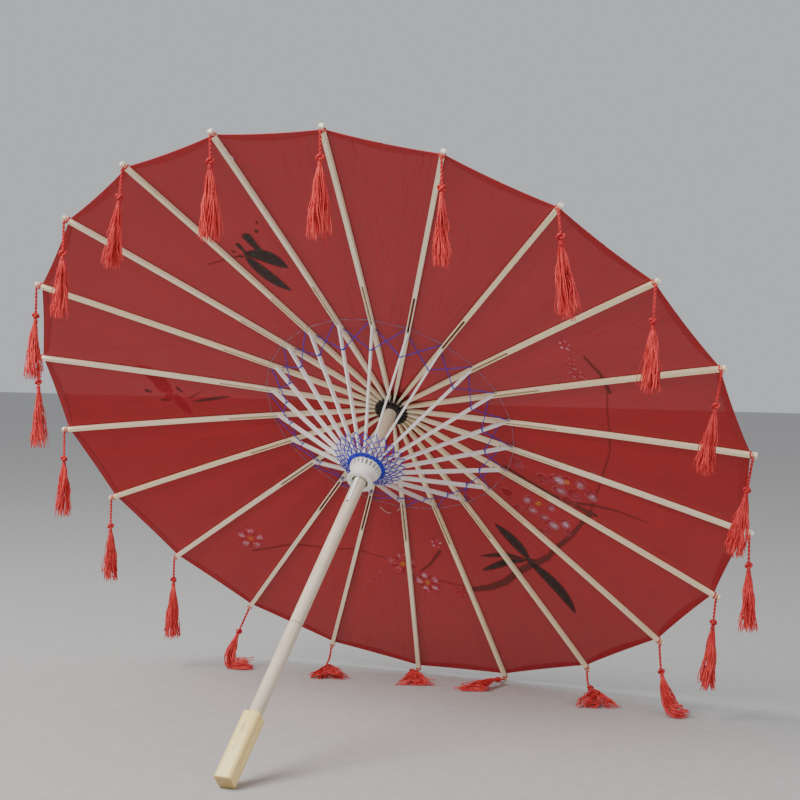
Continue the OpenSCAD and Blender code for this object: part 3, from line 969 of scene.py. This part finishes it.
def tassel(k):
    rng = random.Random(100 + k)
    hang = 28.0 if k in FALLEN else rng.uniform(20.0, 31.0)
    body = f"rib_{two(k)}"
    rib_end = rib_line(TIP_RUN - 4)
    hole = laid(on_rib(k, TIP_R - 4, 0, rib_end - RIB_BELOW - 1.2))
    spine = fall(hole, k, TASSEL, 401)
    per = 400 / (TASSEL)

    def part(a, b, count):
        at, whole = np.linspace(a * per, b * per, count), np.arange(401)
        return np.stack([np.interp(at, whole, spine[:, i]) for i in range(3)], 1)

    # doubled cord: two strands twisted round each other, running on as the core of the fringe
    line = part(0, CORE, 120)
    around = np.linspace(0, 2 * math.pi * 8, 120)
    strands = [(beside(line, around + t, 0.75 * MM), 0.78 * MM, False) for t in (0, math.pi)]
    cord = tubes(f"tassel_cord_{two(k)}", strands, RED_CORD, body, 6)

    # loop through the rib's hole and the thread ring inside the tip
    z = rib_end + 0.6
    loop = [
        on_rib(k, TIP_R - 4, s, h)
        for s, h in (
            (-0.4, z - 3.4), (-1.8, z - 2.6), (-2.9, z - 1.2), (-2.9, z), (-1.6, z), (0, z),
            (1.6, z), (2.9, z), (2.9, z - 1.2), (1.8, z - 2.6), (0.4, z - 3.4),
        )
    ]
    ties = [(laid(np.array(loop)), 0.5 * MM, False)]
    w, low, high = RIB_WIDTH / 2 + 0.3, -RIB_BELOW - 0.35, RIB_ABOVE + 0.3
    turns = []
    for i in range(17):
        s, h = [(w, high), (-w, high), (-w, low), (w, low)][i % 4]
        turns.append(on_rib(k, TIP_R - 7.4 + i * 0.1, s, rib_line(TIP_RUN - 7.4) + h))
    ties.append((laid(np.array(turns)), 0.34 * MM, False))
    tie = tubes(f"tip_tie_{two(k)}", ties, RED_CORD, body, 6)

    # knot: a cord pulled up over and under itself
    at = spine[int((hang + KNOT / 2) * per)]
    t = np.linspace(0, 2 * math.pi, 60, endpoint=False)
    knot_line = np.stack(
        [(2.2 + 1.2 * np.cos(3 * t)) * np.cos(2 * t + k), (2.2 + 1.2 * np.cos(3 * t)) * np.sin(2 * t + k),
         2.0 * np.sin(3 * t)], -1,
    ) * MM
    lift = max(0.0, 0.0034 - at[2])
    knot = tubes(
        f"tassel_knot_{two(k)}", [(knot_line + at + (0, 0, lift), 1.25 * MM, True)], RED_CORD, body, 8
    )

    # neck: thread wound round the bundle
    turns = 6
    line = part(hang + KNOT + 1.0, hang + KNOT + NECK, turns * 14)
    line = line + np.outer(np.maximum(0, 0.0028 - line[:, 2]), (0, 0, 1))
    around = np.linspace(0, 2 * math.pi * turns, len(line))
    neck = tubes(
        f"tassel_neck_{two(k)}", [(beside(line, around, 2.1 * MM), 0.42 * MM, False)], RED_CORD, body, 6
    )

    # fringe: locks of fine strands
    count, locks = 84, 10
    strands = []
    centres = [(rng.uniform(0, 2 * math.pi), math.sqrt(rng.uniform(0.05, 1))) for _ in range(locks)]
    full = rng.uniform(8.6, 11.2)
    s = np.linspace(0, 1, 25)
    for i in range(count):
        lock_angle, lock_reach = centres[i % locks]
        angle = lock_angle + rng.gauss(0, 0.32)
        reach = min(1.08, max(0.05, lock_reach + rng.gauss(0, 0.18)))
        end = TASSEL - rng.uniform(0, 13)
        line = part(hang + KNOT - 1.2, end, 25)
        neck_in = np.where(s < 0.05, 0.7, 1.0)
        grow = np.clip((s - 0.1) / 0.9, 0, 1) ** 0.75
        spread = 1.9 * neck_in + (full - 1.9) * grow
        wiggle = rng.uniform(0.5, 2.1) * np.sin(s * rng.uniform(6, 17) + rng.uniform(0, 6))
        wiggle = wiggle * np.clip(s * 2 - 0.1, 0, 1)
        drift = angle + rng.uniform(-1.5, 1.5) * s
        if k in FANNED:
            # heaped on the ground and spread like a fan
            over = (spread * 0.55 * reach * np.sin(drift) + wiggle * 0.5) * MM
            out = (spread * (1 + 1.5 * grow) * reach * np.cos(drift) + wiggle * 2) * MM
            strand = line + np.outer(out, (0.92, 0.39, 0.0)) + np.outer(over, (0.0, 0.0, 1.0))
            strand[:, 2] += 3.2 * MM * np.sin(math.pi * s) * rng.random()
        else:
            strand = beside(line, drift, (spread * reach + wiggle) * MM)
        strand[:, 2] = np.maximum(strand[:, 2], 0.0005 + 0.0012 * rng.random())
        strands.append((strand, np.where(s > 0.97, 0.25, rng.uniform(0.4, 0.56)) * MM, False))
    if k in (3, 9, 11, 21, 2):
        line = part(hang + KNOT + 4, TASSEL - 6, 20)
        t = np.linspace(0, 1, 20)
        out = (-13.0 if k in (3, 9) else 13.0) * np.sin(t * 1.5) ** 1.3
        line = line + np.stack([out, out * 0.2, abs(out) * 0.15], -1) * MM
        strands.append((line, 0.3 * MM, False))
    fringe = tubes(f"tassel_fringe_{two(k)}", strands, RED_YARN, body, 4)
    return cord, fringe


for k in range(RIBS):
    cord, fringe = tassel(k)
    if k == 0:
        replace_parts(cord, "tassel_cords")
        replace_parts(fringe, "tassel_fringes")


# ---------------------------------------------------------------- ground, light, camera
def ground_paint():
    where = Value.node("TexCoord", {}, {}, out=3)
    grain = noise(where, 60.0, 4.0)
    return {
        "Base Color": mixed(rgb(0.455, 0.445, 0.435), rgb(0.485, 0.475, 0.465), grain.ramp(0.35, 0.65)),
        "Roughness": 0.85,
    }


bpy.ops.mesh.primitive_plane_add(size=30, location=(0, 0, -0.0002))
ground = bpy.context.object
ground.name = "ground"
ground.data.materials.append(material("plain ground", ground_paint))

world = bpy.data.worlds.new("studio")
bpy.context.scene.world = world
world.use_nodes = True
world.node_tree.nodes["Background"].inputs[0].default_value = (0.72, 0.74, 0.78, 1)
world.node_tree.nodes["Background"].inputs[1].default_value = 0.72


def soft_light(name, at, aim, size, power, colour):
    lamp = bpy.data.lights.new(name, "AREA")
    lamp.size, lamp.energy, lamp.color = size, power, colour
    obj = bpy.data.objects.new(name, lamp)
    obj.location = at
    obj.rotation_euler = (Vector(aim) - Vector(at)).to_track_quat("-Z", "Y").to_euler()
    bpy.context.scene.collection.objects.link(obj)


soft_light("sky window", (-1.2, -1.8, 2.4), (0, 0, 0.25), 1.8, 122, (1.0, 0.985, 0.95))
soft_light("fill", (2.4, -1.4, 1.2), (0, 0, 0.3), 2.0, 20, (0.95, 0.97, 1.0))

yaw, pitch, roll = math.radians(23.16), math.radians(1.15), math.radians(1.01)
ahead = Vector((-math.sin(yaw) * math.cos(pitch), math.cos(yaw) * math.cos(pitch), -math.sin(pitch)))
right = Vector((math.cos(yaw), math.sin(yaw), 0))
up = right.cross(ahead)
right = right * math.cos(roll) + up * math.sin(roll)
up = right.cross(ahead)
eye = bpy.data.objects.new("camera", bpy.data.cameras.new("camera"))
eye.data.lens, eye.data.sensor_width = 71.75, 36
eye.location = (0.7203, -1.592, 0.3925)
eye.rotation_euler = Matrix((right, up, -ahead)).transposed().to_euler()
bpy.context.scene.collection.objects.link(eye)
bpy.context.scene.camera = eye
